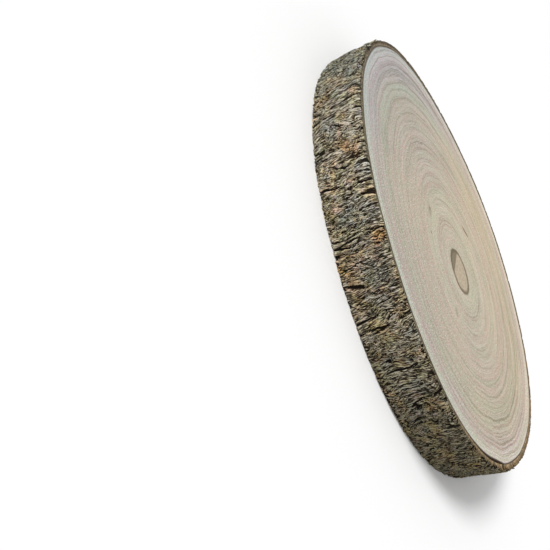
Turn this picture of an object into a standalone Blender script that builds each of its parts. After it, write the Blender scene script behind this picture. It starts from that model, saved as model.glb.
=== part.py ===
"""A wood slice: one cross-cut of a tree trunk, sawn flat on both faces, with its bark on.

The slice lies flat, +Z up, with the underside on z = 0. It is one solid: the trunk's outline is a
circle with a few slow swells, the rim carries the furrows of the bark, and a thin crescent gap shows
where the drying bark has come away from the wood. The origin is under the middle of the slice's box.
"""
import math

import bmesh
import bpy
import numpy as np

# Driving dimensions, in metres and degrees
MEAN_RADIUS = 0.1235            # mean radius over the bark
THICKNESS = 0.026               # from one sawn face to the other
BARK_THICKNESS = 0.0036         # from the wood to the crest of the bark

# Slow swells of the trunk: waves in a turn, height as a share of the radius, direction of a crest
OUTLINE_SWELLS = ((2, 0.031, 9.0), (3, 0.0205, 72.5), (4, 0.0035, 38.0), (5, 0.0054, 30.0))

# Bark furrows: furrows in a turn, depth, share of a furrow's spacing that it leans over the thickness
BARK_FURROWS = ((29, 0.0008, 0.35), (47, 0.0008, -0.50), (71, 0.0004, 0.70))
FURROW_SHARPNESS = 3            # a higher power makes narrower furrows and wider ridges
FURROW_WANDER = 1.6             # how far the spacing drifts round the trunk, in radians of a furrow
WANDER_WAVES = 3                # drifts in a turn

# Crescent gap between wood and bark, open at the upper face
GAP_DIRECTION = 322.0           # where the gap is widest
GAP_HALF_ANGLE = 15.0           # from its widest point to either tip
GAP_WIDTH = 0.0012              # at the widest point
GAP_TIP_WIDTH = 0.0003
GAP_DEPTH = 0.006

# Mesh density
RIM_POINTS = 420
RIM_LEVELS = 6
GAP_POINTS = 17

SAWN_WOOD_COLOUR = (0.60, 0.54, 0.45, 1.0)
SAWN_WOOD_ROUGHNESS = 0.75


def clear_scene():
    """Remove every object of the scene that the script starts in."""
    for old in list(bpy.data.objects):
        bpy.data.objects.remove(old, do_unlink=True)


def outline_radius(turn):
    """Radius of the trunk over its bark: the mean radius times one plus the sum of the swells."""
    swell = np.zeros_like(turn)
    for waves, share, crest in OUTLINE_SWELLS:
        swell += share * np.cos(waves * (turn - math.radians(crest)))
    return MEAN_RADIUS * (1.0 + swell)


def furrow_depth(turn, height):
    """Depth of the bark's furrows: a few leaning cosine waves, each raised to a power to narrow it."""
    depth = np.zeros(np.broadcast(turn, height).shape)
    wander = FURROW_WANDER * np.sin(WANDER_WAVES * turn)
    for furrows, deepest, lean in BARK_FURROWS:
        phase = furrows * turn + wander + 2.0 * math.pi * lean * height / THICKNESS
        depth += deepest * (0.5 + 0.5 * np.cos(phase)) ** FURROW_SHARPNESS
    return depth


def ring_of(bm, radius, turn, height):
    """One closed ring of vertices at a height."""
    return [bm.verts.new((r * math.cos(a), r * math.sin(a), height)) for r, a in zip(radius, turn)]


def skin_between(bm, lower, upper):
    """Quads from a closed ring to the ring above it, facing out."""
    count = len(lower)
    for i in range(count):
        j = (i + 1) % count
        bm.faces.new((lower[i], lower[j], upper[j], upper[i]))


def object_from(bm, name):
    """An object that holds the finished bmesh, linked to the scene."""
    mesh = bpy.data.meshes.new(name)
    bm.to_mesh(mesh)
    bm.free()
    made = bpy.data.objects.new(name, mesh)
    bpy.context.scene.collection.objects.link(made)
    return made


def make_slice():
    """The disc: rings of the furrowed outline from the lower face to the upper one, capped flat."""
    bm = bmesh.new()
    turn = np.linspace(0.0, 2.0 * math.pi, RIM_POINTS, endpoint=False)
    rings = []
    for height in np.linspace(0.0, THICKNESS, RIM_LEVELS):
        radius = outline_radius(turn) - furrow_depth(turn, height)
        rings.append(ring_of(bm, radius, turn, height))
    for lower, upper in zip(rings, rings[1:]):
        skin_between(bm, lower, upper)
    bm.faces.new(rings[-1])
    bm.faces.new(reversed(rings[0]))
    return object_from(bm, "wood_slice")


def make_gap_cutter():
    """The crescent to be cut: from the wood's edge out to a width that swells between its two tips."""
    bm = bmesh.new()
    across = np.linspace(-1.0, 1.0, GAP_POINTS)
    turn = np.radians(GAP_DIRECTION + GAP_HALF_ANGLE * across)
    inner = outline_radius(turn) - BARK_THICKNESS
    outer = inner + GAP_TIP_WIDTH + (GAP_WIDTH - GAP_TIP_WIDTH) * np.cos(0.5 * math.pi * across) ** 2
    radius = np.concatenate([outer, inner[::-1]])
    around = np.concatenate([turn, turn[::-1]])
    floor = ring_of(bm, radius, around, THICKNESS - GAP_DEPTH)
    roof = ring_of(bm, radius, around, THICKNESS + GAP_DEPTH)
    skin_between(bm, floor, roof)
    bm.faces.new(roof)
    bm.faces.new(reversed(floor))
    cutter = object_from(bm, "bark_gap_cutter")
    cutter.hide_render = True
    cutter.display_type = 'WIRE'
    return cutter


def cut_gap(piece, cutter):
    """Take the crescent out of the slice."""
    cut = piece.modifiers.new("bark_gap", 'BOOLEAN')
    cut.operation = 'DIFFERENCE'
    cut.solver = 'EXACT'
    cut.object = cutter


def centre_over_origin(piece, cutter):
    """Place both objects so that the middle of the slice's box stands over the origin."""
    corners = np.array([vertex.co[:2] for vertex in piece.data.vertices])
    middle = 0.5 * (corners.min(axis=0) + corners.max(axis=0))
    for placed in (piece, cutter):
        placed.location = (-middle[0], -middle[1], 0.0)


def paint(piece):
    """Pale sawn wood."""
    material = bpy.data.materials.new("sawn_wood")
    material.use_nodes = True
    shader = material.node_tree.nodes["Principled BSDF"]
    shader.inputs["Base Color"].default_value = SAWN_WOOD_COLOUR
    shader.inputs["Roughness"].default_value = SAWN_WOOD_ROUGHNESS
    shader.inputs["Metallic"].default_value = 0.0
    piece.data.materials.append(material)


def main():
    """Build the slice."""
    clear_scene()
    piece = make_slice()
    cutter = make_gap_cutter()
    cut_gap(piece, cutter)
    centre_over_origin(piece, cutter)
    paint(piece)


main()
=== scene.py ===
"""Wood slice: the finished surfaces of a sawn slice of tree trunk with its bark on.

The slice lies flat with its better sawn face up. The wood is one closed disc whose rings swing from an
off-centre heart out to the trunk's outline; the bark is one closed band around it, furrowed along the
trunk's length, with slivers of dry bark curling off it.
"""
import itertools
import math

import bpy
import numpy as np
from mathutils import Matrix, Vector


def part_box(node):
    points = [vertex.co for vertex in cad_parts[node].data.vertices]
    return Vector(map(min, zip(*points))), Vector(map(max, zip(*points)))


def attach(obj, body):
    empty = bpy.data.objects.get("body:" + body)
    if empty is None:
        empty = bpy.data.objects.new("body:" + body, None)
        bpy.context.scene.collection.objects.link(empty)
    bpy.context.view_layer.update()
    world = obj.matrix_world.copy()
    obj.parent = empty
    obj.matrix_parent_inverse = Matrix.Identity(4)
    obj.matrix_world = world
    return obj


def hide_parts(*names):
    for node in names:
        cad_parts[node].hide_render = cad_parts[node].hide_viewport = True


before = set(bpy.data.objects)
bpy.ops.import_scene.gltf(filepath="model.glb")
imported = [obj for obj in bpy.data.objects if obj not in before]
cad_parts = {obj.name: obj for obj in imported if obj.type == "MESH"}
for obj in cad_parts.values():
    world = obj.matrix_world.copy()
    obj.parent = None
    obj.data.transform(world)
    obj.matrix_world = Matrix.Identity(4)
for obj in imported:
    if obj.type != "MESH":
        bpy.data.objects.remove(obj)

bl_info = {
    "name": "Wood Slice",
    "version": (1, 0, 0),
    "blender": (4, 5, 0),
    "location": "View3D > Sidebar > Wood Slice",
    "description": "A sawn slice of tree trunk with growth rings, bark and a plain stage",
    "category": "Add Mesh",
}

MM = 0.001
FULL_TURN = 2.0 * math.pi
NODE = "wood_slice"
BODY = "root"
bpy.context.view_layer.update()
LOW, HIGH = (np.array(corner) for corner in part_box(NODE))
THICKNESS = float(HIGH[2] - LOW[2])

# The trunk's outline, the same as the solid's: waves in a turn, share of the radius, crest in degrees
OUTLINE_SWELLS = ((2, 0.031, 9.0), (3, 0.0205, 72.5), (4, 0.0035, 38.0), (5, 0.0054, 30.0))


def swell(turn):
    """How far the outline stands off its mean circle: the sum of the swells, as a share of the radius."""
    return sum(share * np.cos(waves * (turn - math.radians(crest))) for waves, share, crest in OUTLINE_SWELLS)


def outline_box():
    """Low and high corner of the outline of mean radius one."""
    turn = np.linspace(0.0, FULL_TURN, 3600)
    ring = (1.0 + swell(turn)) * np.array([np.cos(turn), np.sin(turn)])
    return ring.min(axis=1), ring.max(axis=1)


UNIT_LOW, UNIT_HIGH = outline_box()
MEAN_RADIUS = float(np.mean((HIGH - LOW)[:2] / (UNIT_HIGH - UNIT_LOW)))
MIDDLE = 0.5 * (LOW + HIGH)[:2] - MEAN_RADIUS * 0.5 * (UNIT_LOW + UNIT_HIGH)


# ---------------------------------------------------------------- settings

def length(name, text, default):
    """A length property, in metres."""
    return bpy.props.FloatProperty(name=name, description=text, default=default, unit='LENGTH', precision=5)


def factor(name, text, default):
    """A plain number property."""
    return bpy.props.FloatProperty(name=name, description=text, default=default)


def angle(name, text, degrees):
    """An angle property."""
    return bpy.props.FloatProperty(name=name, description=text, default=math.radians(degrees),
                                   subtype='ANGLE')


def colour(name, text, default):
    """A colour property, in linear light."""
    return bpy.props.FloatVectorProperty(name=name, description=text, default=default, size=3,
                                         subtype='COLOR', min=0.0, max=1.0)


class WoodSettings(bpy.types.PropertyGroup):
    """Sizes and colours of the sawn wood."""
    heart_x: length("Heart X", "Place of the heart of the trunk, from the outline's centre", 0.0117)
    heart_y: length("Heart Y", "Place of the heart of the trunk, from the outline's centre", -0.0125)
    heart_radius: length("Heart radius", "Radius of the dark ring round the heart", 0.0135)
    eccentric: factor("Ring drift", "Power by which the rings' centres drift from the heart outwards", 1.5)
    pale: colour("Pale wood", "Wood near the heart", (0.505, 0.465, 0.375))
    pink: colour("Pink wood", "Wood half way out", (0.480, 0.415, 0.338))
    rim: colour("Rim wood", "Youngest wood, under the bark", (0.490, 0.458, 0.395))
    ring: colour("Ring", "Late wood at the end of each year", (0.225, 0.180, 0.125))
    pith: colour("Pith", "Core of the heart", (0.520, 0.430, 0.310))
    pith_edge: colour("Pith edge", "Dark ring round the heart", (0.130, 0.105, 0.060))


class BarkSettings(bpy.types.PropertyGroup):
    """Sizes and colours of the bark."""
    thickness: length("Thickness", "From the wood to the crest of the bark", 3.6 * MM)
    stand: length("Mean depth", "Of the bark's surface below its outline", 0.18 * MM)
    fissure: length("Fissure depth", "Depth of the long cracks", 1.3 * MM)
    fibre: length("Fibre height", "Height of the stringy ridges", 0.85 * MM)
    curl: length("Curl height", "Height of the warts and curled flakes", 1.0 * MM)
    gap: length("Gap", "Greatest width of the gap between wood and bark", 1.2 * MM)
    gap_turn: angle("Gap direction", "Middle of the gap", 322.0)
    gap_reach: angle("Gap reach", "From the gap's middle to either tip", 15.0)
    split_turn: angle("Split", "Where the bark has split, at the end of the gap", 336.2)
    cut: colour("Cut bark", "Sawn edge of the bark", (0.225, 0.180, 0.115))
    inner: colour("Inner bark", "Pale layer next to the wood", (0.350, 0.290, 0.195))
    slivers: bpy.props.IntProperty(name="Slivers", description="Number of curling slivers", default=2400)


class StageSettings(bpy.types.PropertyGroup):
    """Camera, floor and lights."""
    camera_distance: length("Camera distance", "From the slice's axis", 0.3822)
    camera_height: length("Camera height", "Above the upper face", 0.0919)
    camera_pan: angle("Pan", "Turn of the view away from the slice's axis", 3.16)
    camera_tilt: angle("Tilt", "How far the view looks down", 29.4)
    camera_roll: angle("Roll", "Turn of the camera about its line of sight", 71.3)
    lens: factor("Lens", "Focal length in mm on a 36 mm sensor", 41.9)
    floor: colour("Floor", "Plain pale floor", (0.90, 0.90, 0.90))
    key: factor("Key light", "Strength of the soft key light", 2.5)
    key_angle: angle("Key softness", "Width of the key light as seen from the slice", 22.0)
    fill: factor("Sky", "Strength of the even white surroundings", 0.62)


# ---------------------------------------------------------------- noise

def gradient_noise(x, y, z, seed):
    """Smooth noise from about -1 to 1: random gradients on a lattice, eased with 6t^5 - 15t^4 + 10t^3."""
    chance = np.random.default_rng(seed)
    shuffle = chance.permutation(256)
    gradient = chance.normal(size=(256, 3))
    gradient /= np.linalg.norm(gradient, axis=1, keepdims=True)
    cell = [np.floor(c).astype(int) for c in (x, y, z)]
    part = [c - f for c, f in zip((x, y, z), cell)]
    ease = [p ** 3 * (p * (6.0 * p - 15.0) + 10.0) for p in part]
    total = np.zeros(np.shape(x))
    for corner in itertools.product((0, 1), repeat=3):
        index = shuffle[(cell[0] + corner[0]) & 255]
        index = shuffle[(index + cell[1] + corner[1]) & 255]
        index = shuffle[(index + cell[2] + corner[2]) & 255]
        weight = np.ones(np.shape(x))
        slope = np.zeros(np.shape(x))
        for axis, step in enumerate(corner):
            weight = weight * (ease[axis] if step else 1.0 - ease[axis])
            slope = slope + gradient[index, axis] * (part[axis] - step)
        total = total + weight * slope
    return 1.6 * total


def trunk_noise(turn, height, across, along, seed, octaves=1):
    """Noise on the trunk's surface, wrapping round it, with features so wide (mm) and so long (mm)."""
    radius = MEAN_RADIUS / MM
    x = radius * np.cos(turn) / across
    y = radius * np.sin(turn) / across
    z = height / MM / along + 0.37
    total = np.zeros(np.broadcast(turn, height).shape)
    for octave in range(octaves):
        scale = 2.0 ** octave
        total = total + gradient_noise(x * scale, y * scale, z * scale + 0 * x, seed + octave) / scale
    return total


def ease_between(low, high, value):
    """0 below low, 1 above high, with a smooth step between."""
    t = np.clip((value - low) / (high - low), 0.0, 1.0)
    return t * t * (3.0 - 2.0 * t)


def cell_seams(turn, height, around, rows_per_metre, seed):
    """Scattered cells round the trunk: how much nearer the nearest centre is than the next, and a
    number from 0 to 1 for each cell. The first is 0 on a seam between two cells."""
    chance = np.random.default_rng(seed)
    rows = 16
    jitter = chance.random((around, rows, 2))
    tone = chance.random((around, rows))
    a = turn / FULL_TURN * around
    b = height * rows_per_metre + 4.0
    column = np.floor(a).astype(int)
    row = np.floor(b).astype(int)
    nearest = np.full(a.shape, 9.0)
    second = np.full(a.shape, 9.0)
    owner = np.zeros(a.shape)
    for da, db in itertools.product((-1, 0, 1), repeat=2):
        i = (column + da) % around
        j = (row + db) % rows
        dx = column + da + jitter[i, j, 0] - a
        dy = row + db + jitter[i, j, 1] - b
        away = np.hypot(dx, dy)
        closer = away < nearest
        second = np.where(closer, nearest, np.minimum(second, away))
        owner = np.where(closer, tone[i, j], owner)
        nearest = np.where(closer, away, nearest)
    return second - nearest, owner


# ---------------------------------------------------------------- shape of the trunk

# The widest cracks: turn in degrees half way up, slant on the trunk's length, half width in mm
GREAT_CRACKS = ((205.0, 0.20, 0.40), (216.0, 0.25, 0.35), (227.0, 0.15, 0.40), (239.2, -0.10, 0.45),
                (248.7, -0.10, 0.40), (260.9, 0.14, 0.40), (278.0, 0.22, 0.45), (291.0, 0.10, 0.40),
                (306.0, 0.15, 0.40), (31.0, 0.15, 0.45), (75.0, 0.05, 0.40), (118.0, 0.15, 0.45))
GREAT_CRACK_SEED = 141          # of the first; each one after it takes the next number
CRACK_WANDER = 0.6 * MM         # of a great crack or a split, to either side of its line
SPLIT_SLANT = 0.10              # sideways for each unit of height
SPLIT_HALF_WIDTH = 0.7 * MM
SPLIT_SEED = 131
ROUGH_TURN = math.radians(315.0)    # middle of the side where the bark is roughest
PROUDEST = 0.3 * MM             # most that the bark's surface stands outside its outline
HAIR_GAP = 0.06 * MM            # between wood and bark where they hold together
EDGE_CROWDING = 1.15            # power that crowds the rows of a mesh towards the slice's edges


def place(radius, turn, height):
    """Points at a radius, turn and height about the outline's centre."""
    x = MIDDLE[0] + radius * np.cos(turn)
    y = MIDDLE[1] + radius * np.sin(turn)
    return np.stack(np.broadcast_arrays(x, y, height), axis=-1)


def rough_patches(turn, height):
    """Where the bark is rough and flaking: 0 on its smooth skin, 1 in the middle of a rough patch. It is
    noise plus a cosine of the turn, so one side has more of these patches than the other."""
    field = trunk_noise(turn, height, 12.0, 10.0, 81, 2) + 0.30 * np.cos(turn - ROUGH_TURN) - 0.02
    return ease_between(-0.02, 0.42, field)


def grain_lines(turn, height):
    """Turn and height straightened along the bark's strings, and how much they twist: the strings lean
    about the trunk's length on a slant that drifts, and wander a little."""
    slant = 0.10 - 0.16 * np.cos(turn) + 0.35 * trunk_noise(turn, height, 30.0, 40.0, 11)
    twist = trunk_noise(turn, height, 8.0, 12.0, 21, 3)
    wander = (0.9 + 0.9 * rough_patches(turn, height)) * MM * twist
    lean = turn + (slant * (height - 0.5 * THICKNESS) + wander) / MEAN_RADIUS
    rise = height + 1.2 * MM * trunk_noise(turn, height, 7.0, 9.0, 31, 2)
    return lean, rise, twist


def groove(turn, height, middle, slant, width, seed):
    """How far each point lies in one long crack: a bell across a line that leans on the trunk's length
    and wanders a little."""
    aside = ((turn - middle + math.pi) % FULL_TURN - math.pi) * MEAN_RADIUS
    wander = CRACK_WANDER * trunk_noise(0 * turn, height, 5.0, 5.0, seed, 2)
    aside = aside + slant * (height - 0.5 * THICKNESS) - wander
    return np.exp(-(aside / width) ** 2)


def split_groove(turn, height, bark):
    """How far each point lies in the split at the end of the gap."""
    return groove(turn, height, bark.split_turn, SPLIT_SLANT, SPLIT_HALF_WIDTH, SPLIT_SEED)


def bark_relief(turn, height, bark):
    """Depth of the bark's surface below its outline, and how far each point lies in a crack.

    Cracks are the lines where a noise drawn out along the trunk changes sign, and the great cracks lie on
    lines of their own. Stringy ridges are folds of drawn-out noises, finer and finer. Warts are folds of a
    twisted, rounder noise, and flakes are scattered cells, both in patches. The split deepens upwards.
    """
    lean, rise, twist = grain_lines(turn, height)
    open_here = ease_between(-0.40, 0.05, trunk_noise(turn, height, 13.0, 16.0, 51))
    long_crack = 1.0 - ease_between(0.015, 0.085, np.abs(trunk_noise(lean, rise, 9.0, 60.0, 41, 2)))
    short_crack = 1.0 - ease_between(0.010, 0.110, np.abs(trunk_noise(lean, rise, 3.6, 14.0, 43, 2)))
    crack = np.maximum(long_crack * open_here, 0.55 * short_crack * (1.0 - open_here))
    for number, (middle, slant, width) in enumerate(GREAT_CRACKS):
        great = groove(turn, height, math.radians(middle), slant, width * MM, GREAT_CRACK_SEED + number)
        crack = np.maximum(crack, great)

    cord = 1.0 - np.clip(2.2 * np.abs(trunk_noise(lean, rise, 2.2, 8.5, 61, 2)), 0.0, 1.0)
    fibre = 1.0 - np.clip(2.3 * np.abs(trunk_noise(lean, rise, 1.2, 4.6, 65, 2)), 0.0, 1.0)
    thread = 1.0 - np.clip(2.5 * np.abs(trunk_noise(lean, rise, 0.7, 3.0, 71)), 0.0, 1.0)
    patch = rough_patches(turn, height)
    knot = 1.0 - np.clip(2.4 * np.abs(trunk_noise(lean + 0.012 * twist, rise, 1.9, 3.0, 91, 2)), 0.0, 1.0)
    seam, flake = cell_seams(lean + 0.020 * twist, rise, 170, 130.0, 45)
    between = (1.0 - ease_between(0.03, 0.16, seam)) * patch

    crest = bark.fibre * (0.16 * (cord - 0.5) + 0.34 * (fibre - 0.5) + 0.46 * (thread - 0.5))
    crest = crest * (0.55 + 0.9 * patch) + bark.curl * patch * (0.8 * (knot - 0.5) + 0.7 * (flake - 0.5))
    crest = crest - bark.fissure * np.maximum(crack, 0.5 * between)
    crest = crest + 0.22 * bark.fissure * trunk_noise(turn, height, 19.0, 26.0, 101, 2)
    depth = np.clip(bark.stand - crest, -PROUDEST, 0.8 * bark.thickness)

    split = split_groove(turn, height, bark) * ease_between(0.25, 0.85, height / THICKNESS)
    return depth + 0.85 * bark.thickness * split, np.maximum(np.maximum(crack, 0.6 * between), split)


def gap_width(turn, bark):
    """Width of the wedge-shaped gap: a skewed sine between its tips, a hair's breadth elsewhere."""
    away = (turn - bark.gap_turn + math.pi) % FULL_TURN - math.pi
    along = 0.5 + 0.5 * np.clip(away / bark.gap_reach, -1.0, 1.0)
    return HAIR_GAP + bark.gap * np.sin(math.pi * along ** 2.4)


def wood_radius(turn, bark):
    """Radius of the wood: the outline less the bark and the gap, with a slow drift of its own."""
    drift = 0.5 * MM * trunk_noise(turn, 0.0 * turn, 30.0, 30.0, 7)
    return MEAN_RADIUS * (1.0 + swell(turn)) - bark.thickness - gap_width(turn, bark) + drift


# ---------------------------------------------------------------- meshes

def grid_faces(rows, columns, wrap_rows=False):
    """Quads of a grid that closes on itself round its columns, and round its rows too if asked."""
    down = np.arange(rows if wrap_rows else rows - 1)
    across = np.arange(columns)
    i, j = np.meshgrid(down, across, indexing='ij')
    below = (i + 1) % rows
    beside = (j + 1) % columns
    return np.stack([i * columns + j, i * columns + beside, below * columns + beside, below * columns + j],
                    axis=-1).reshape(-1, 4)


def mesh_object(name, points, faces, smooth=True):
    """A new object at the origin from points and a list of face arrays."""
    mesh = bpy.data.meshes.new(name)
    mesh.from_pydata(points.reshape(-1, 3), [], list(itertools.chain(*(block.tolist() for block in faces))))
    mesh.polygons.foreach_set("use_smooth", np.full(len(mesh.polygons), smooth))
    mesh.validate()
    made = bpy.data.objects.new(name, mesh)
    bpy.context.scene.collection.objects.link(made)
    return made


def add_attribute(piece, name, values, domain='POINT'):
    """Store one number for each point or face."""
    held = piece.data.attributes.new(name, 'FLOAT', domain)
    held.data.foreach_set("value", np.ascontiguousarray(values, dtype=np.float32).ravel())


def add_grain(piece, turn, height):
    """Store the point of a plain cylinder that lies at each point's place along the bark's strings."""
    lean, rise, _ = grain_lines(turn, height)
    held = piece.data.attributes.new("grain", 'FLOAT_VECTOR', 'POINT')
    held.data.foreach_set("vector", place(MEAN_RADIUS, lean, rise).astype(np.float32).ravel())


def add_unwrap(piece, corners):
    """Store the unwrapped places of the face corners, in the order of the faces."""
    layer = piece.data.uv_layers.new(name="OFBake")
    layer.data.foreach_set("uv", np.ascontiguousarray(corners, dtype=np.float32).ravel())


def mark_sharp(piece, lines):
    """Mark the edges that run along any of these lines of points as sharp."""
    mesh = piece.data
    ends = np.empty(2 * len(mesh.edges), dtype=np.int32)
    mesh.edges.foreach_get("vertices", ends)
    ends = ends.reshape(-1, 2)
    line_of = np.full(len(mesh.vertices), -1)
    for number, line in enumerate(lines):
        line_of[line] = number
    on_line = (line_of[ends[:, 0]] >= 0) & (line_of[ends[:, 0]] == line_of[ends[:, 1]])
    sharp = mesh.attributes.new("sharp_edge", 'BOOLEAN', 'EDGE')
    sharp.data.foreach_set("value", on_line)


def finish_piece(piece):
    """Hang the piece on the body it rides on and hide the imported part it stands in for."""
    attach(piece, BODY)
    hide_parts(NODE)


# ---------------------------------------------------------------- materials

class Graph:
    """A short way to write a material's nodes."""

    def __init__(self, name):
        self.material = bpy.data.materials.new(name)
        self.material.use_nodes = True
        self.tree = self.material.node_tree
        self.shader = self.tree.nodes["Principled BSDF"]
        self.places = self.tree.nodes.new("ShaderNodeTexCoord").outputs["Object"]

    def node(self, kind, settings=None, **sockets):
        """Add a node, set its options, and link or set its sockets by index (i0, i1, ...) or name."""
        made = self.tree.nodes.new(kind)
        for key, value in (settings or {}).items():
            setattr(made, key, value)
        for key, value in sockets.items():
            socket = made.inputs[int(key[1:])] if key[1:].isdigit() else made.inputs[key.replace("_", " ")]
            self.feed(socket, value)
        return made

    def feed(self, socket, value):
        """Link an output to a socket, or set the socket's own value."""
        if isinstance(value, bpy.types.NodeSocket):
            self.tree.links.new(value, socket)
        else:
            socket.default_value = value

    def math(self, operation, a, b=0.0, c=0.0, clamp=False):
        """One sum on numbers."""
        options = {"operation": operation, "use_clamp": clamp}
        return self.node("ShaderNodeMath", options, i0=a, i1=b, i2=c).outputs[0]

    def span(self, value, low, high, bottom=0.0, top=1.0):
        """Map low..high to bottom..top with a smooth step."""
        made = self.node("ShaderNodeMapRange", {"interpolation_type": 'SMOOTHSTEP'},
                         i0=value, i1=low, i2=high, i3=bottom, i4=top)
        return made.outputs[0]

    def attribute(self, name):
        """A stored number."""
        return self.node("ShaderNodeAttribute", {"attribute_name": name}).outputs["Fac"]

    def stretched(self, across, along, shift=0.0, places=None):
        """Object places, or others, scaled so that one unit is so many mm across the trunk and along it."""
        scale = (1.0 / (across * MM), 1.0 / (across * MM), 1.0 / (along * MM))
        made = self.node("ShaderNodeMapping", i0=self.places if places is None else places,
                         i1=(shift, shift, shift), i3=scale)
        return made.outputs[0]

    def noise(self, vector, detail=2.0, roughness=0.5, distortion=0.0):
        """Noise from 0 to 1 about 0.5."""
        return self.node("ShaderNodeTexNoise", Vector=vector, Scale=1.0, Detail=detail,
                         Roughness=roughness, Distortion=distortion).outputs["Fac"]

    def ripple(self, vector, detail=2.0, roughness=0.5):
        """Noise about 0."""
        return self.math('SUBTRACT', self.noise(vector, detail, roughness), 0.5)

    def vector(self, operation, a, b=(0.0, 0.0, 0.0), c=(0.0, 0.0, 0.0)):
        """One sum on vectors."""
        return self.node("ShaderNodeVectorMath", {"operation": operation}, i0=a, i1=b, i2=c).outputs[0]

    def distance(self, vector):
        """Length of a vector."""
        return self.node("ShaderNodeVectorMath", {"operation": 'LENGTH'}, i0=vector).outputs["Value"]

    def away(self, centre, turn, half_sizes):
        """Distance from a centre, as a share of these half sizes along axes turned by so many degrees."""
        turned = (0.0, 0.0, math.radians(turn))
        near = self.node("ShaderNodeMapping", {"vector_type": 'TEXTURE'}, i0=self.places, i1=centre,
                         i2=turned, i3=half_sizes)
        return self.distance(near.outputs[0])

    def oval(self, x, y, long, wide, turn):
        """1 in the middle of an oval on the upper face, falling to 0 at its edge."""
        away = self.away((x, y, THICKNESS), turn, (0.5 * long, 0.5 * wide, 1.0 * MM))
        return self.span(away, 0.2, 1.0, 1.0, 0.0)

    def patch(self, turn, height, around, along, ragged):
        """1 in the middle of a ragged patch of bark at a turn (in degrees) and a height, 0 outside it."""
        centre = tuple(float(c) for c in place(MEAN_RADIUS, math.radians(turn), height))
        away = self.away(centre, turn, (30.0 * MM, 0.5 * around, 0.5 * along))
        away = self.math('MULTIPLY_ADD', ragged, 1.6, away)
        return self.span(away, 0.45, 1.05, 1.0, 0.0)

    def ramp(self, value, stops):
        """Colour or number by stops of (place, value)."""
        made = self.node("ShaderNodeValToRGB", i0=value)
        band = made.color_ramp
        for _ in range(len(stops) - 2):
            band.elements.new(0.5)
        for element, (place_, tone) in zip(band.elements, stops):
            element.position = place_
            element.color = (*tone, 1.0) if isinstance(tone, tuple) else (tone, tone, tone, 1.0)
        return made.outputs["Color"]

    def mix(self, share, first, second, blend='MIX'):
        """Mix two colours."""
        made = self.node("ShaderNodeMix", {"data_type": 'RGBA', "blend_type": blend}, i0=share)
        for socket, value in ((made.inputs[6], first), (made.inputs[7], second)):
            self.feed(socket, value if isinstance(value, bpy.types.NodeSocket) else (*value, 1.0))
        return made.outputs[2]

    def tint(self, share, first, tone):
        """Multiply a colour by a tone, by so great a share."""
        return self.mix(share, first, tone, 'MULTIPLY')

    def bump(self, height, strength, distance):
        """Fine relief."""
        normal = self.node("ShaderNodeBump", Strength=strength, Distance=distance, Height=height)
        self.feed(self.shader.inputs["Normal"], normal.outputs[0])


# Rings that stand out, as shares of the way from the heart to the bark, with their darkness
MAIN_RINGS = ((0.200, 0.35), (0.225, 0.45), (0.246, 0.95), (0.264, 0.50), (0.345, 0.60), (0.420, 0.50),
              (0.455, 0.35), (0.516, 0.45), (0.602, 0.75), (0.664, 0.60), (0.700, 0.50), (0.722, 0.50),
              (0.786, 1.00), (0.826, 0.65), (0.862, 0.70), (0.900, 0.60), (0.930, 0.50))
RING_RISE = 0.016               # share of the way from where a ring starts to darken to its middle
RING_FALL = 0.005               # from its darkest line to its middle, and from there to its end
WEDGE_TURN = math.radians(208.8)    # from the heart to the dark wedge in it

# Marks on the upper face: place as shares of the radius, length and width in mm, turn in degrees, darkness
FLECKS = ((-0.081, 0.247, 17.0, 3.2, 42.0, 0.95), (-0.111, -0.361, 2.8, 2.2, 0.0, 0.90),
          (-0.205, -0.275, 14.0, 7.0, -36.0, 0.32), (-0.217, -0.261, 4.0, 3.0, -36.0, 0.60),
          (0.249, -0.363, 10.0, 6.0, -32.0, 0.32))


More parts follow.
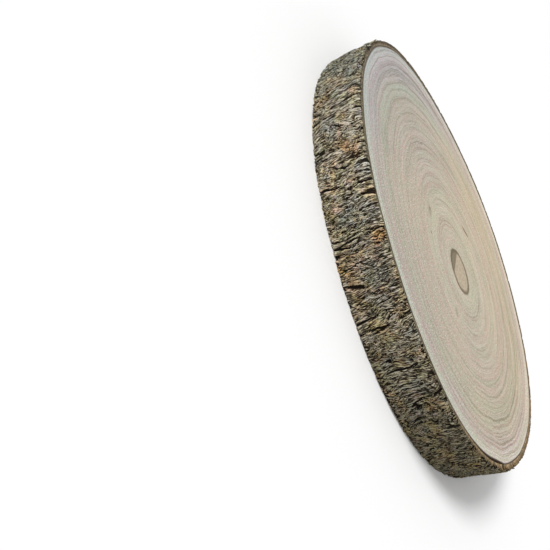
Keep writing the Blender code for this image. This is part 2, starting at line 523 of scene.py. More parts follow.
def wood_material(wood):
    """Sawn end grain: colour zones, main rings and thin rings by the ring coordinate, saw grain, tints
    towards the rim and the sides, painted shade towards -Y and painted light towards +Y, the pith with its
    dark edge and wedge, a few flecks, and painted shade on the wood's edge and wall."""
    g = Graph("sawn_wood")
    wobble = g.ripple(g.stretched(26.0, 26.0), 3.0)
    fine_wobble = g.ripple(g.stretched(5.0, 5.0, 3.0), 2.0)
    ring = g.math('MULTIPLY_ADD', wobble, 0.035, g.attribute("ring"))
    ring = g.math('MULTIPLY_ADD', fine_wobble, 0.008, ring)

    zones = g.ramp(ring, ((0.12, tuple(wood.pale)), (0.28, tuple(wood.pale)), (0.50, tuple(wood.pink)),
                          (0.72, tuple(wood.pink)), (0.93, tuple(wood.rim))))
    lines = 0.0
    for every_other in (MAIN_RINGS[::2], MAIN_RINGS[1::2]):
        stops = [(0.0, 0.0)]
        for place_, dark in every_other:
            stops += [(place_ - RING_RISE, 0.0), (place_ - RING_FALL, dark), (place_ + RING_FALL, 0.0)]
        lines = g.math('MAXIMUM', g.ramp(ring, stops), lines)
    along_ring = g.noise(g.stretched(16.0, 16.0, 9.0), 2.0)
    lines = g.math('MULTIPLY', lines, g.span(along_ring, 0.30, 0.62, 0.45, 1.0))

    middle = (MIDDLE[0] + wood.heart_x, MIDDLE[1] + wood.heart_y, 0.0)
    flat = g.vector('MULTIPLY', g.vector('SUBTRACT', g.places, middle), (1.0, 1.0, 0.0))
    outward = g.vector('NORMALIZE', flat)
    height = g.node("ShaderNodeCombineXYZ", i2=ring).outputs[0]

    def layers(across, around, detail, shift=0.0):
        """Noise in layers that follow the rings: so many to the radius, and about so many round the turn."""
        swung = g.vector('MULTIPLY', outward, (around / 6.0, around / 6.0, around / 6.0))
        stack = g.vector('MULTIPLY_ADD', height, (0.0, 0.0, across), swung)
        return g.noise(g.vector('ADD', stack, (shift, shift, shift)), detail, 0.55)

    folds = g.math('ABSOLUTE', g.math('SUBTRACT', layers(52.0, 2.0, 1.5), 0.5))
    thin = g.span(folds, 0.0, 0.05, 1.0, 0.0)
    thin = g.math('MULTIPLY', thin, g.span(ring, 0.40, 0.85, 0.25, 0.85))
    dark = g.math('ADD', lines, thin, clamp=True)
    side = g.node("ShaderNodeSeparateXYZ", i0=flat).outputs
    calm = g.span(side["Y"], -0.09, -0.02, 0.60, 1.0)
    dark = g.math('MULTIPLY', dark, calm)
    tone = g.mix(g.math('MULTIPLY', dark, 0.86), zones, tuple(wood.ring))
    broad = g.math('MULTIPLY', g.span(layers(15.0, 1.8, 1.5, 3.0), 0.38, 0.62), calm)
    tone = g.tint(broad, tone, (0.89, 0.90, 0.89))
    hue = layers(22.0, 2.0, 1.5, 7.0)
    tone = g.tint(g.span(hue, 0.50, 0.62, 0.0, 0.9), tone, (1.045, 0.945, 0.95))
    tone = g.tint(g.span(hue, 0.38, 0.50, 0.9, 0.0), tone, (0.95, 1.01, 0.945))
    streak = layers(130.0, 16.0, 2.0, 11.0)
    tone = g.tint(g.span(streak, 0.50, 0.68, 0.0, 0.80), tone, (0.80, 0.77, 0.72))
    tone = g.tint(g.span(streak, 0.32, 0.50, 0.75, 0.0), tone, (1.14, 1.16, 1.19))

    shade = g.noise(g.stretched(38.0, 38.0, 5.0), 3.0)
    tone = g.mix(g.span(shade, 0.40, 0.70, 0.0, 0.35), tone, (0.50, 0.42, 0.30))
    grain = g.noise(g.stretched(0.75, 0.9, 1.0), 2.0, 0.7)
    tone = g.mix(g.span(grain, 0.50, 0.68, 0.0, 0.85), tone, (0.30, 0.24, 0.17))
    tone = g.mix(g.span(grain, 0.30, 0.49, 0.90, 0.0), tone, (0.72, 0.69, 0.61))
    mottle = g.noise(g.stretched(1.5, 1.5, 17.0), 1.0)
    tone = g.tint(g.span(mottle, 0.52, 0.66, 0.0, 0.9), tone, (1.09, 0.96, 0.98))
    tone = g.tint(g.span(mottle, 0.34, 0.48, 0.9, 0.0), tone, (0.94, 1.03, 0.96))

    tone = g.tint(g.span(side["X"], -0.13, -0.03, 1.0, 0.0), tone, (0.86, 0.92, 1.03))
    lilac = g.math('MULTIPLY', g.span(ring, 0.84, 0.90), g.span(ring, 0.93, 0.97, 1.0, 0.35))
    lilac = g.math('MULTIPLY', lilac, g.span(side["Y"], -0.10, -0.04, 0.25, 0.65))
    tone = g.tint(lilac, tone, (1.00, 0.955, 1.06))
    moss = g.math('MULTIPLY', g.span(ring, 0.66, 0.74), g.span(ring, 0.82, 0.87, 1.0, 0.0))
    moss = g.math('MULTIPLY', moss, g.span(side["Y"], -0.09, -0.03))
    tone = g.tint(g.math('MULTIPLY', moss, 0.8), tone, (0.95, 0.995, 0.955))
    tone = g.tint(g.span(ring, 0.93, 0.97), tone, (1.07, 1.12, 1.13))
    # Painted shade: the face is darker towards the -Y side.
    tone = g.tint(g.span(side["Y"], -0.08, -0.03, 1.0, 0.0), tone, (0.94, 0.96, 0.98))
    tone = g.tint(g.span(side["X"], 0.04, 0.11), tone, (1.06, 1.02, 1.00))
    # Painted light: the face is brighter and warmer towards the +Y side.
    tone = g.tint(g.span(side["Y"], -0.02, 0.11, 0.0, 1.0), tone, (1.20, 1.15, 1.07))

    size = wood.heart_radius
    away = g.math('MULTIPLY_ADD', fine_wobble, 1.6 * MM, g.distance(flat))
    core = g.span(away, 0.93 * size, 1.06 * size, 1.0, 0.0)
    cells = g.noise(g.stretched(1.3, 3.0, 21.0), 3.0, 0.6, 0.6)
    spongy = g.mix(g.span(cells, 0.40, 0.62), tuple(0.72 * c for c in wood.pith), tuple(wood.pith))
    tone = g.mix(core, tone, spongy)
    edge_in = g.span(away, 0.78 * size, 0.94 * size)
    edge = g.math('MULTIPLY', edge_in, g.span(away, 0.98 * size, 1.08 * size, 1.0, 0.0))
    wedge_way = (math.cos(WEDGE_TURN), math.sin(WEDGE_TURN), 0.0)
    towards = g.node("ShaderNodeVectorMath", {"operation": 'DOT_PRODUCT'}, i0=flat, i1=wedge_way)
    wedge = g.math('MULTIPLY', g.span(towards.outputs["Value"], 0.42 * size, 0.52 * size), core)
    tone = g.mix(g.math('MULTIPLY', wedge, 0.75), tone, tuple(wood.pith_edge))
    tone = g.mix(g.math('MULTIPLY', edge, 0.85), tone, tuple(wood.pith_edge))

    for x, y, long, wide, turn, dark in FLECKS:
        spot = g.oval(MIDDLE[0] + x * MEAN_RADIUS, MIDDLE[1] + y * MEAN_RADIUS, long * MM, wide * MM, turn)
        tone = g.mix(g.math('MULTIPLY', spot, dark), tone, tuple(wood.pith_edge))

    # Painted shade: the wood's edge and side wall, marked by "rim", are painted near-black where they show in
    # the gap under the bark.
    rim = g.attribute("rim")
    tone = g.mix(g.span(rim, 0.0, 1.0, 0.0, 0.9), tone, (0.055, 0.030, 0.013))
    g.feed(g.shader.inputs["Base Color"], tone)
    g.shader.inputs["Roughness"].default_value = 0.78
    g.shader.inputs["Specular IOR Level"].default_value = 0.25
    saw = g.noise(g.stretched(0.8, 0.8, 2.0), 3.0, 0.6)
    g.bump(g.math('SUBTRACT', saw, g.math('MULTIPLY', dark, 0.6)), 0.35, 0.12 * MM)
    return g.material


RUST = (1.03, 0.88, 0.74)
SLATE = (0.89, 0.97, 1.09)

# Stains on the bark: turn in degrees, height, breadth round the trunk and along it in mm, tint
STAINS = ((241.5, 14.0, 20.0, 26.0, RUST), (261.5, 23.0, 14.0, 11.0, RUST), (265.5, 5.0, 16.0, 13.0, RUST),
          (273.0, 6.0, 20.0, 13.0, RUST), (256.0, 14.0, 20.0, 26.0, SLATE), (269.5, 16.0, 13.0, 17.0, SLATE),
          (232.0, 10.0, 14.0, 14.0, SLATE), (296.0, 18.0, 12.0, 12.0, SLATE), (60.0, 12.0, 22.0, 20.0, RUST),
          (95.0, 16.0, 20.0, 18.0, SLATE), (150.0, 10.0, 24.0, 18.0, RUST), (12.0, 12.0, 18.0, 16.0, SLATE))

# Tinted patches all over the bark: size in mm, shift of the noise, where it starts and ends, share, tint
PATCHES = ((13.0, 1.0, 0.50, 0.64, 0.75, (0.88, 0.97, 1.12)),
           (9.0, 7.0, 0.50, 0.66, 0.80, (1.16, 0.96, 0.75)),
           (7.0, 13.0, 0.48, 0.64, 0.85, (1.01, 1.03, 0.82)),
           (6.0, 17.0, 0.60, 0.70, 0.60, (1.08, 0.86, 0.68)),
           (4.5, 23.0, 0.54, 0.66, 0.80, (1.06, 0.94, 1.06)))


def bark_material(bark):
    """Bark: tone by relief height (own colour with painted highlight and shade) and fibrous noise, painted
    shade in cracks and towards +X, tinted patches, a tan cut edge.
    """
    g = Graph("bark")
    crest = g.attribute("crest")
    fissure = g.attribute("fissure")
    cut = g.attribute("cut")
    grain = g.node("ShaderNodeAttribute", {"attribute_name": "grain"}).outputs["Vector"]

    def strings(across, along, detail, shift=0.0):
        """Noise about 0 along the bark's strings, so many mm across them and along them."""
        return g.ripple(g.stretched(across, along, shift, grain), detail)

    rough = g.attribute("rough")
    coarse = strings(1.1, 6.0, 2.0)
    fine = strings(0.36, 2.6, 0.8, 3.0)
    speck = g.ripple(g.stretched(0.65, 0.9, 4.0), 1.0, 0.6)
    blotch = g.ripple(g.stretched(5.0, 8.0, 8.0), 3.0, 0.6)
    # Partly the bark's own colour, partly painted highlight and shade: the tone rises with the crest
    # attribute, pale on crests and dark in hollows.
    tone = g.math('MULTIPLY_ADD', crest, 0.68, 0.13)
    tone = g.math('MULTIPLY_ADD', coarse, 0.8, tone)
    tone = g.math('MULTIPLY_ADD', blotch, 0.9, tone)
    tone = g.math('MULTIPLY_ADD', fine, g.math('MULTIPLY_ADD', rough, 3.0, 3.5), tone)
    tone = g.math('MULTIPLY_ADD', speck, g.math('MULTIPLY_ADD', rough, 3.2, 1.2), tone)
    tone = g.math('MULTIPLY_ADD', rough, -0.05, tone)
    side = g.node("ShaderNodeSeparateXYZ", i0=g.places).outputs
    deeper = g.math('MULTIPLY', g.math('SUBTRACT', tone, 0.5), g.span(side["X"], -0.02, 0.10, 0.0, 0.35))
    # Painted shade: the cracks, flake seams and split are darkened towards black.
    tone = g.math('MULTIPLY_ADD', fissure, -0.75, g.math('ADD', tone, deeper), clamp=True)
    body = g.ramp(tone, ((0.0, (0.014, 0.010, 0.005)), (0.2, (0.050, 0.040, 0.023)),
                         (0.4, (0.131, 0.111, 0.073)), (0.6, (0.257, 0.220, 0.155)),
                         (0.8, (0.420, 0.374, 0.275)), (1.0, (0.690, 0.630, 0.493))))

    for size, shift, low, high, share, tint in PATCHES:
        field = g.noise(g.stretched(size, size, shift), 3.0, 0.6, 0.4)
        body = g.tint(g.span(field, low, high, 0.0, share), body, tint)
    flick = strings(1.0, 5.0, 1.0, 9.0)
    body = g.tint(g.span(flick, 0.03, 0.16, 0.0, 0.45), body, (1.12, 0.98, 0.82))
    body = g.tint(g.span(flick, -0.16, -0.03, 0.45, 0.0), body, (0.94, 1.01, 1.03))

    body = g.tint(g.math('MULTIPLY', rough, 0.8), body, (1.07, 0.98, 0.86))
    body = g.tint(g.span(rough, 0.0, 0.30, 0.8, 0.0), body, (0.98, 0.99, 1.03))
    ragged = g.ripple(g.stretched(4.0, 6.0, 31.0), 3.0, 0.6)
    for turn, height, around, along, tint in STAINS:
        stain = g.patch(turn, height * MM, around * MM, along * MM, ragged)
        body = g.tint(g.math('MULTIPLY', stain, 0.75), body, tint)

    body = g.tint(g.span(side["X"], -0.13, -0.05, 1.0, 0.0), body, (0.57, 0.63, 0.63))
    # Painted shade: the bark is darker and more olive towards +X.
    body = g.tint(g.span(side["X"], -0.05, 0.12, 0.0, 0.95), body, (0.355, 0.338, 0.263))

    layer = g.attribute("layer")
    sawn = g.ramp(layer, ((0.0, (0.18, 0.12, 0.065)), (0.08, tuple(bark.inner)), (0.36, tuple(bark.inner)),
                          (0.56, tuple(bark.cut)), (0.88, (0.20, 0.145, 0.085)), (1.0, (0.09, 0.07, 0.045))))
    crumb = g.noise(g.stretched(0.9, 0.9, 6.0), 3.0, 0.7)
    sawn = g.mix(g.span(crumb, 0.38, 0.60, 0.75, 0.0), sawn, (0.055, 0.042, 0.027))
    smear = g.noise(g.stretched(4.0, 4.0, 26.0), 3.0, 0.6)
    sawn = g.tint(g.span(smear, 0.46, 0.62, 0.0, 0.65), sawn, (0.48, 0.50, 0.50))
    sawn = g.tint(g.span(side["Y"], -0.11, -0.05, 1.0, 0.0), sawn, (0.72, 0.76, 0.72))
    sawn = g.tint(g.span(side["X"], -0.12, -0.07, 1.0, 0.0), sawn, (0.88, 0.86, 0.86))
    sawn = g.tint(g.span(side["X"], 0.05, 0.10), sawn, (1.50, 1.32, 1.10))
    g.feed(g.shader.inputs["Base Color"], g.mix(cut, body, sawn))
    g.shader.inputs["Roughness"].default_value = 0.88
    g.shader.inputs["Specular IOR Level"].default_value = 0.2
    relief = g.math('MULTIPLY_ADD', coarse, 0.6, g.math('MULTIPLY_ADD', speck, 0.5, fine))
    g.bump(relief, 1.0, 0.9 * MM)
    return g.material


# ---------------------------------------------------------------- pieces

RING_STEPS = 56                 # from the heart to the wood's edge, on each face
WOOD_COLUMNS = 600
WOOD_WALL_STEPS = 6
EDGE_ROUNDING = 0.25 * MM
SAW_MARKS = 0.05 * MM           # height of the upper face's slow waves
FACE_VIEW = 2.16 * MEAN_RADIUS  # breadth that fills one unit of the unwrapped faces
UPPER_VIEW = (0.37, 0.72)       # middle and size of the upper face in the unwrap
LOWER_VIEW = (0.77, 0.44)
WALL_VIEW = ((0.79, 0.19), (0.02, 0.20))    # start and size of the wall in the unwrap, by turn and height


def wood_face(wood, bark, ring, turn):
    """Places by ring and turn: each ring is the wood's outline shrunk, rounder towards the heart, about a
    centre that drifts from the outline's centre (ring 1) to the heart (ring 0)."""
    size = wood_radius(turn, bark)
    mean = size.mean()
    radius = ring * (mean + (size - mean) * ring)
    drift = 1.0 - ring ** wood.eccentric
    x = MIDDLE[0] + wood.heart_x * drift + radius * np.cos(turn)
    y = MIDDLE[1] + wood.heart_y * drift + radius * np.sin(turn)
    return x, y


def make_wood(wood, bark):
    """The disc: polar grids on both faces and a wall between them, with a pole at each heart."""
    turn = np.linspace(0.0, FULL_TURN, WOOD_COLUMNS, endpoint=False)[None, :]
    last = 1.0 - EDGE_ROUNDING / MEAN_RADIUS
    inward = 1.0 - (1.0 - np.linspace(0.0, 1.0, RING_STEPS + 1)[1:, None]) ** EDGE_CROWDING
    inward[-1] = last
    level = THICKNESS * np.linspace(1.0, 0.0, WOOD_WALL_STEPS)[:, None]
    level[0] -= EDGE_ROUNDING
    level[-1] += EDGE_ROUNDING
    ring = np.concatenate([inward, np.ones((WOOD_WALL_STEPS, 1)), inward[::-1]])
    height = np.concatenate([np.full_like(inward, THICKNESS), level, np.zeros_like(inward)])
    x, y = wood_face(wood, bark, ring, turn)
    saw = SAW_MARKS * gradient_noise(x / (9 * MM), y / (9 * MM), height / MM + 0 * x, 3)
    points = np.stack([x, y, height + saw * (height > 0) * (ring < 1.0)], axis=-1)
    heart = (MIDDLE[0] + wood.heart_x, MIDDLE[1] + wood.heart_y)
    poles = np.array([[*heart, THICKNESS], [*heart, 0.0]])
    points = np.concatenate([points.reshape(-1, 3), poles])
    rows = len(ring)
    quads = grid_faces(rows, WOOD_COLUMNS)[:, ::-1]
    column = np.arange(WOOD_COLUMNS)
    beside = (column + 1) % WOOD_COLUMNS
    top_pole = rows * WOOD_COLUMNS
    top = np.stack([np.full_like(column, top_pole), column, beside], axis=-1)
    base = (rows - 1) * WOOD_COLUMNS
    under = np.stack([np.full_like(column, top_pole + 1), base + beside, base + column], axis=-1)
    piece = mesh_object("sawn_wood", points, [quads, top, under])
    # "rim" marks the wood's edge and side wall, which the material paints near-black as painted shade in the
    # gap under the bark.
    for name, by_row in (("ring", ring), ("rim", (ring >= last).astype(float))):
        add_attribute(piece, name, np.append(by_row + 0 * x, [0.0, 0.0]))
    unwrap_wood(piece)
    piece.data.materials.append(wood_material(wood))
    finish_piece(piece)


def unwrap_wood(piece):
    """Flat views of the two faces side by side, and the wall in a corner strip."""
    mesh = piece.data
    corners = np.empty(len(mesh.loops), dtype=np.int32)
    mesh.loops.foreach_get("vertex_index", corners)
    spot = np.empty(3 * len(mesh.vertices))
    mesh.vertices.foreach_get("co", spot)
    spot = spot.reshape(-1, 3)[corners]
    starts = np.empty(len(mesh.polygons), dtype=np.int32)
    counts = np.empty(len(mesh.polygons), dtype=np.int32)
    mesh.polygons.foreach_get("loop_start", starts)
    mesh.polygons.foreach_get("loop_total", counts)
    owner = np.repeat(np.arange(len(mesh.polygons)), counts)
    facing = np.empty(3 * len(mesh.polygons))
    mesh.polygons.foreach_get("normal", facing)
    facing = facing.reshape(-1, 3)[owner]
    flat = (spot[:, :2] - MIDDLE) / FACE_VIEW
    upper = UPPER_VIEW[0] + UPPER_VIEW[1] * flat
    lower = LOWER_VIEW[0] + LOWER_VIEW[1] * flat * np.array([-1.0, 1.0])
    turn = np.arctan2(spot[:, 1] - MIDDLE[1], spot[:, 0] - MIDDLE[0]) / FULL_TURN % 1.0
    first = np.repeat(turn[starts], counts)
    turn = np.where(turn - first > 0.5, turn - 1.0, np.where(turn - first < -0.5, turn + 1.0, turn))
    shares = (np.clip(turn, 0.0, 1.0), spot[:, 2] / THICKNESS)
    wall = np.stack([start + size * share for (start, size), share in zip(WALL_VIEW, shares)], axis=-1)
    steep = np.abs(facing[:, 2:]) < 0.6
    add_unwrap(piece, np.where(steep, wall, np.where(facing[:, 2:] > 0.0, upper, lower)))


BARK_COLUMNS = 2700             # round the trunk
BARK_LEVELS = 25                # up the outer surface
BARK_CUT_STEPS = 4              # across each sawn edge
BARK_INNER_STEPS = 4            # down the hidden inner wall, with HOLD_LEVELS between its ends
UNWRAP_STRIPS = 5               # laid one above the other in the unwrap
UNWRAP_MARGIN = 0.004
UNWRAP_BANDS = ((0.06, 0.72), (0.78, 0.10), (0.88, 0.06), (0.94, 0.05))     # start and height in a strip
UNWRAP_TOP = 0.995              # where the last band meets the first
CHIP_DEPTH = 0.70 * MM          # of the chips along both edges of the bark
CHIP_REACH = 0.80 * MM          # from the edge
BREAK_DEPTH = 1.50 * MM         # worn off the outside at the upper edge, most of all on the -Y side
BREAK_REACH = 1.50 * MM         # below the edge
CRUMBLE = 0.60 * MM             # how far the sawn edge of the bark has crumbled
LEAST_BARK = 0.40 * MM          # left over the wood at the bottom of the deepest crack
SPLIT_DEPTH = 3.0 * MM          # of the split, below the sawn edge
HOLD = 0.60 * MM                # how far the hidden inner wall reaches into the wood
HOLD_LEVELS = (0.72, 0.28)      # between which it does, as shares of the thickness
LIP_DROP = 0.10 * MM            # from either face to the ends of the inner wall
CREST_SPAN = 0.90 * MM          # of relief between the darkest hollow and the palest crest, whose tone is partly painted shade and highlight
CREST_REACH = 7                 # columns to either side over which the relief is evened out


def blurred(field, reach):
    """Mean of a wrapped field over so many columns to either side."""
    total = sum(np.roll(field, step, axis=1) for step in range(-reach, reach + 1))
    return total / (2 * reach + 1)


def make_bark(bark):
    """The band: for each turn, up the furrowed outside, across the sawn edge, down inside and back."""
    turn = np.linspace(0.0, FULL_TURN, BARK_COLUMNS, endpoint=False)[None, :]
    share = np.linspace(-1.0, 1.0, BARK_LEVELS)[:, None]
    level = 0.5 * THICKNESS * (1.0 + np.sign(share) * (1.0 - (1.0 - np.abs(share)) ** EDGE_CROWDING))
    round_turn, level_all = np.broadcast_arrays(turn, level)
    depth, fissure = bark_relief(round_turn, level_all, bark)
    chip = CHIP_DEPTH * ease_between(0.1, 0.6, trunk_noise(round_turn, level_all, 3.0, 4.0, 111, 2))
    chip = chip * np.exp(-np.minimum(level, THICKNESS - level) / CHIP_REACH)
    broken = BREAK_DEPTH * np.clip(-np.sin(turn), 0.0, 1.0) * np.exp(-(THICKNESS - level) / BREAK_REACH)
    inner = wood_radius(turn, bark)
    lip = inner + gap_width(turn, bark)
    outer = MEAN_RADIUS * (1.0 + swell(turn)) - depth - chip - broken
    outer = np.maximum(outer, lip + LEAST_BARK)

    across = np.linspace(0.0, 1.0, BARK_CUT_STEPS + 2)[1:-1, None]
    arch = np.sin(math.pi * across)
    crumble = trunk_noise(turn + 0 * across, 40 * MM * across + 0 * turn, 1.5, 9.0, 121, 2)
    crumble = CRUMBLE * (0.5 + 0.5 * crumble)
    notch = SPLIT_DEPTH * split_groove(turn, THICKNESS + 0 * turn, bark)
    cut_top = outer[-1:] + (lip - outer[-1:]) * across
    cut_base = lip + (outer[:1] - lip) * across
    top_height = THICKNESS - crumble * arch - notch * arch ** 0.5
    base_height = crumble[::-1] * arch
    wall = np.concatenate([lip, inner - HOLD, inner - HOLD, lip])
    hold_heights = [THICKNESS * hold for hold in HOLD_LEVELS]
    wall_height = np.array([THICKNESS - LIP_DROP, *hold_heights, LIP_DROP])[:, None] + 0 * turn

    radius = np.concatenate([outer, cut_top, wall, cut_base])
    height = np.concatenate([level_all, top_height, wall_height, base_height])
    points = place(radius, turn, height)
    rows = len(radius)
    piece = mesh_object("bark", points, [grid_faces(rows, BARK_COLUMNS, wrap_rows=True)])

    # crest: local height in the relief, which the material turns into pale crests and dark hollows, partly
    # own colour and partly painted highlight and shade.
    crest = np.clip(0.5 + (blurred(depth, CREST_REACH) - depth) / CREST_SPAN, 0.0, 1.0)
    hidden = np.zeros((rows - BARK_LEVELS, BARK_COLUMNS))
    add_attribute(piece, "crest", np.concatenate([crest, hidden + 0.5]))
    # fissure: the cracks, flake seams and split, which the material darkens as painted shade.
    add_attribute(piece, "fissure", np.concatenate([fissure, hidden]))
    add_attribute(piece, "rough", np.concatenate([rough_patches(round_turn, level_all), hidden]))
    add_grain(piece, turn + 0 * height, height)
    layer = np.concatenate([0 * level + 1.0, 1.0 - across, np.zeros((BARK_INNER_STEPS, 1)), across])
    add_attribute(piece, "layer", layer + 0 * turn)
    is_cut = np.concatenate([np.zeros(BARK_LEVELS - 1), np.ones(rows - BARK_LEVELS + 1)])
    add_attribute(piece, "cut", np.repeat(is_cut, BARK_COLUMNS), 'FACE')
    column = np.arange(BARK_COLUMNS)
    mark_sharp(piece, [row * BARK_COLUMNS + column for row in
                       (0, BARK_LEVELS - 1, BARK_LEVELS + BARK_CUT_STEPS, rows - BARK_CUT_STEPS - 1)])
    unwrap_bark(piece, level[:, 0] / THICKNESS, across[:, 0])
    piece.data.materials.append(bark_material(bark))
    finish_piece(piece)


def unwrap_bark(piece, up, across):
    """The band cut into strips laid one above the other: along a strip by turn, up it by profile, with
    one band each for the outside, the upper edge, the inner wall and the lower edge."""
    shares = (up, across, np.linspace(0.0, 1.0, BARK_INNER_STEPS), across)
    profile = np.concatenate([start + size * share for (start, size), share in zip(UNWRAP_BANDS, shares)])
    after = np.append(profile[1:], UNWRAP_TOP)
    width = BARK_COLUMNS // UNWRAP_STRIPS
    column = np.arange(BARK_COLUMNS)
    strip = column // width
    low = (strip[None, :] + profile[:, None]) / UNWRAP_STRIPS
    high = (strip[None, :] + after[:, None]) / UNWRAP_STRIPS
    left = (column % width) / width + 0 * low
    right = left + 1.0 / width
    left, right = (UNWRAP_MARGIN + (1.0 - 2.0 * UNWRAP_MARGIN) * side for side in (left, right))
    corners = np.stack([np.stack([left, low], -1), np.stack([right, low], -1),
                        np.stack([right, high], -1), np.stack([left, high], -1)], axis=-2)
    add_unwrap(piece, corners)


SLIVER_LENGTH = (2.5, 8.0)      # mm
SLIVER_WIDTH = (0.30, 0.80)     # mm
SLIVER_LIFT = (0.2, 1.2)        # mm, of the end that curls off
SLIVER_ROOT = 0.15 * MM         # least rise of its outer side over the bark
SLIVER_CROWN = 0.20 * MM        # rise of its middle line over its edges
SLIVER_STEPS = 6
SLIVER_THICKNESS = 0.25 * MM    # at its ends, and twice that half way
SLIVER_LIMIT = 0.50 * MM        # furthest outside the trunk's outline
SLIVER_CLEARANCE = 0.60 * MM    # from either face of the slice


def make_slivers(bark):
    """Dry slivers: short strips that lie along the trunk on a slant, tapered to both ends by a power of
    the way from the middle, bent by a parabola, and lifted off at one end by a power of the way to it."""
    chance = np.random.default_rng(5)
    count = bark.slivers
    along = np.linspace(-0.5, 0.5, SLIVER_STEPS)[None, :, None]
    across = np.array([-0.5, 0.0, 0.5])[None, None, :]
    size = chance.uniform(*SLIVER_LENGTH, count)[:, None, None] * MM
    width = chance.uniform(*SLIVER_WIDTH, count)[:, None, None] * MM
    where = chance.uniform(0.0, FULL_TURN, 3 * count)
    up = chance.uniform(0.06, 0.94, 3 * count) * THICKNESS
    likely = rough_patches(where, up) + 0.6 * chance.random(3 * count)
    chosen = np.sort(np.argsort(-likely)[:count])
    where = where[chosen][:, None, None]
    up = up[chosen][:, None, None]
    slant = chance.normal(-0.12, 0.30, count)[:, None, None]
    bend = chance.normal(0.0, 1.0, count)[:, None, None] * MM
    lift = chance.uniform(*SLIVER_LIFT, count)[:, None, None] * MM
    turned = np.where(chance.random(count) < 0.5, -1.0, 1.0)[:, None, None]
    taper = 1.0 - 0.75 * np.abs(2.0 * along) ** 2.2
    sideways = across * width * taper + bend * (4.0 * along ** 2 - 0.5)
    lengthways = along * size
    turn = where + (sideways * np.cos(slant) + lengthways * np.sin(slant)) / MEAN_RADIUS
    height = up + lengthways * np.cos(slant) - sideways * np.sin(slant)
    height = np.clip(height, SLIVER_CLEARANCE, THICKNESS - SLIVER_CLEARANCE)
    depth = bark_relief(turn, height, bark)[0]
    outline = MEAN_RADIUS * (1.0 + swell(turn))
    base = outline - 0.6 * depth - 0.4 * depth.mean(axis=(1, 2), keepdims=True)
    rise = lift * np.clip(turned * along + 0.5, 0.0, 1.0) ** 1.5 + SLIVER_ROOT
    crown = SLIVER_CROWN * (1.0 - 4.0 * across ** 2)
    outside = np.minimum(base + rise + crown, outline + SLIVER_LIMIT)
    inside = outside - SLIVER_THICKNESS * (2.0 - np.abs(2.0 * along) ** 2)
    shell = np.stack([place(outside, turn, height), place(inside, turn, height)], axis=1)
    points = shell.reshape(-1, 3)

    per = SLIVER_STEPS * 3
    i, j = np.meshgrid(np.arange(SLIVER_STEPS - 1), np.arange(2), indexing='ij')
    a = (i * 3 + j).ravel()
    front = np.stack([a, a + 1, a + 4, a + 3], axis=-1)
    back = front[:, ::-1] + per
    step = np.arange(SLIVER_STEPS - 1) * 3
    left = np.stack([step, step + 3, step + 3 + per, step + per], axis=-1)
    right = np.stack([step + 5, step + 2, step + 2 + per, step + 5 + per], axis=-1)
    side = np.arange(2)
    tail = (SLIVER_STEPS - 1) * 3
    foot = np.stack([side + 1, side, side + per, side + 1 + per], axis=-1)
    head = np.stack([side + tail, side + tail + 1, side + tail + 1 + per, side + tail + per], axis=-1)
    one = np.concatenate([front, back, left, right, foot, head])
    faces = (one[None] + (np.arange(count) * 2 * per)[:, None, None]).reshape(-1, 4)
    piece = mesh_object("bark_slivers", points, [faces])
    # Slivers get high crest values and come out pale, partly their own dry colour and partly painted
    # highlight.
    crest = 0.70 + 0.45 * chance.random(count)[:, None] + np.zeros((1, 2 * per))
    for name, values in (("crest", crest), ("fissure", 0 * crest), ("rough", 0 * crest),
                         ("layer", 0 * crest + 1.0)):
        add_attribute(piece, name, values)
    add_grain(piece, np.stack([turn, turn], axis=1), np.stack([height, height], axis=1))
    add_attribute(piece, "cut", np.zeros(len(faces)), 'FACE')
    piece.data.materials.append(bpy.data.materials["bark"])
    finish_piece(piece)


# ---------------------------------------------------------------- stage

def make_camera(stage):
    """A camera on the -Y side of the slice that looks down on it, rolled about its line of sight."""
    camera = bpy.data.objects.new("camera", bpy.data.cameras.new("camera"))
    bpy.context.scene.collection.objects.link(camera)
    camera.data.lens = stage.lens
    camera.data.sensor_width = 36.0
    camera.data.clip_start = 0.01
    camera.data.clip_end = 100.0
    eye = Vector((MIDDLE[0], MIDDLE[1] - stage.camera_distance, THICKNESS + stage.camera_height))
    pan = Matrix.Rotation(stage.camera_pan, 4, 'Z')
    tilt = Matrix.Rotation(math.pi / 2 - stage.camera_tilt, 4, 'X')
    roll = Matrix.Rotation(stage.camera_roll, 4, 'Z')
    camera.matrix_world = Matrix.Translation(eye) @ pan @ tilt @ roll
    bpy.context.scene.camera = camera


KEY_FROM = (-0.68, -0.36, 0.64)     # from the slice towards the key light
FLOOR_REACH = 30.0
FLOOR_DROP = 0.02 * MM              # below the slice, so that the two faces don't share a plane


def make_key(stage):
    """A wide soft light from above, to the camera's side of the slice."""
    lamp = bpy.data.lights.new("key", 'SUN')
    lamp.energy = stage.key
    lamp.angle = stage.key_angle
    held = bpy.data.objects.new("key", lamp)
    bpy.context.scene.collection.objects.link(held)
    held.rotation_euler = Vector(KEY_FROM).to_track_quat('Z', 'Y').to_euler()


def make_floor(stage):
    """A plain pale floor."""
    corners = np.array([(-1.0, -1.0, 0.0), (1.0, -1.0, 0.0), (1.0, 1.0, 0.0), (-1.0, 1.0, 0.0)])
    floor = mesh_object("floor", FLOOR_REACH * corners, [np.array([[0, 1, 2, 3]])], smooth=False)
    floor.location.z = -FLOOR_DROP
    g = Graph("floor")
    g.shader.inputs["Base Color"].default_value = (*stage.floor, 1.0)
    g.shader.inputs["Roughness"].default_value = 0.9
    g.shader.inputs["Specular IOR Level"].default_value = 0.1
    floor.data.materials.append(g.material)


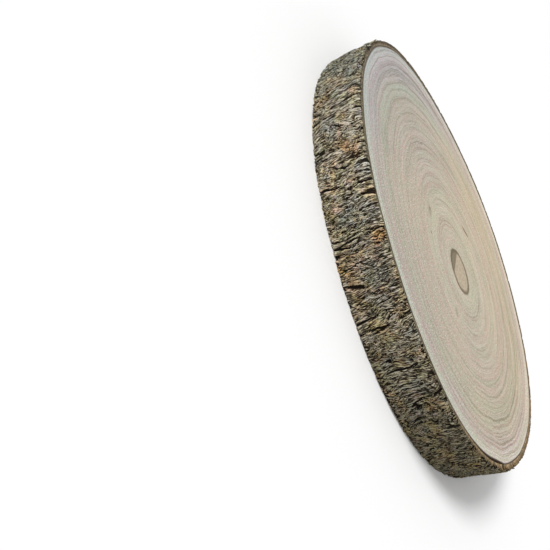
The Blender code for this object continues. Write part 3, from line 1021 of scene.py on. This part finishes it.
def make_world(stage):
    """Even white surroundings."""
    world = bpy.data.worlds.new("white")
    world.use_nodes = True
    tree = world.node_tree
    sky = tree.nodes["Background"]
    sky.inputs["Color"].default_value = (1.0, 1.0, 1.0, 1.0)
    seen = tree.nodes.new("ShaderNodeLightPath").outputs["Is Camera Ray"]
    level = tree.nodes.new("ShaderNodeMix")
    level.inputs[2].default_value = stage.fill
    level.inputs[3].default_value = 1.0
    tree.links.new(seen, level.inputs[0])
    tree.links.new(level.outputs[0], sky.inputs["Strength"])
    bpy.context.scene.world = world
    bpy.context.scene.view_settings.view_transform = 'Standard'


# ---------------------------------------------------------------- operators

class SLICE_OT_wood(bpy.types.Operator):
    """Make the sawn disc of wood"""
    bl_idname = "slice.wood"
    bl_label = "Saw Wood"

    def execute(self, context):
        make_wood(context.scene.slice_wood, context.scene.slice_bark)
        return {'FINISHED'}


class SLICE_OT_bark(bpy.types.Operator):
    """Make the band of bark"""
    bl_idname = "slice.bark"
    bl_label = "Grow Bark"

    def execute(self, context):
        make_bark(context.scene.slice_bark)
        return {'FINISHED'}


class SLICE_OT_slivers(bpy.types.Operator):
    """Make the dry slivers that curl off the bark"""
    bl_idname = "slice.slivers"
    bl_label = "Curl Slivers"

    def execute(self, context):
        make_slivers(context.scene.slice_bark)
        return {'FINISHED'}


class SLICE_OT_stage(bpy.types.Operator):
    """Set up the camera, floor and lights"""
    bl_idname = "slice.stage"
    bl_label = "Set Stage"

    def execute(self, context):
        stage = context.scene.slice_stage
        make_camera(stage)
        make_floor(stage)
        make_key(stage)
        make_world(stage)
        return {'FINISHED'}


class SLICE_PT_panel(bpy.types.Panel):
    """The slice's pieces, in the sidebar"""
    bl_idname = "SLICE_PT_panel"
    bl_label = "Wood Slice"
    bl_space_type = 'VIEW_3D'
    bl_region_type = 'UI'
    bl_category = "Wood Slice"

    def draw(self, context):
        for operator in OPERATORS:
            self.layout.operator(operator.bl_idname)


OPERATORS = (SLICE_OT_stage, SLICE_OT_wood, SLICE_OT_bark, SLICE_OT_slivers)
GROUPS = {"slice_wood": WoodSettings, "slice_bark": BarkSettings, "slice_stage": StageSettings}


def register():
    """Register the classes and hang the settings on the scene."""
    for kind in (*GROUPS.values(), *OPERATORS, SLICE_PT_panel):
        bpy.utils.register_class(kind)
    for name, group in GROUPS.items():
        setattr(bpy.types.Scene, name, bpy.props.PointerProperty(type=group))


def unregister():
    """Undo register."""
    for name in GROUPS:
        delattr(bpy.types.Scene, name)
    for kind in (SLICE_PT_panel, *reversed(OPERATORS), *GROUPS.values()):
        bpy.utils.unregister_class(kind)


def main():
    """Build everything."""
    register()
    bpy.ops.slice.stage()
    bpy.ops.slice.wood()
    bpy.ops.slice.bark()
    bpy.ops.slice.slivers()


if __name__ == "__main__":
    main()
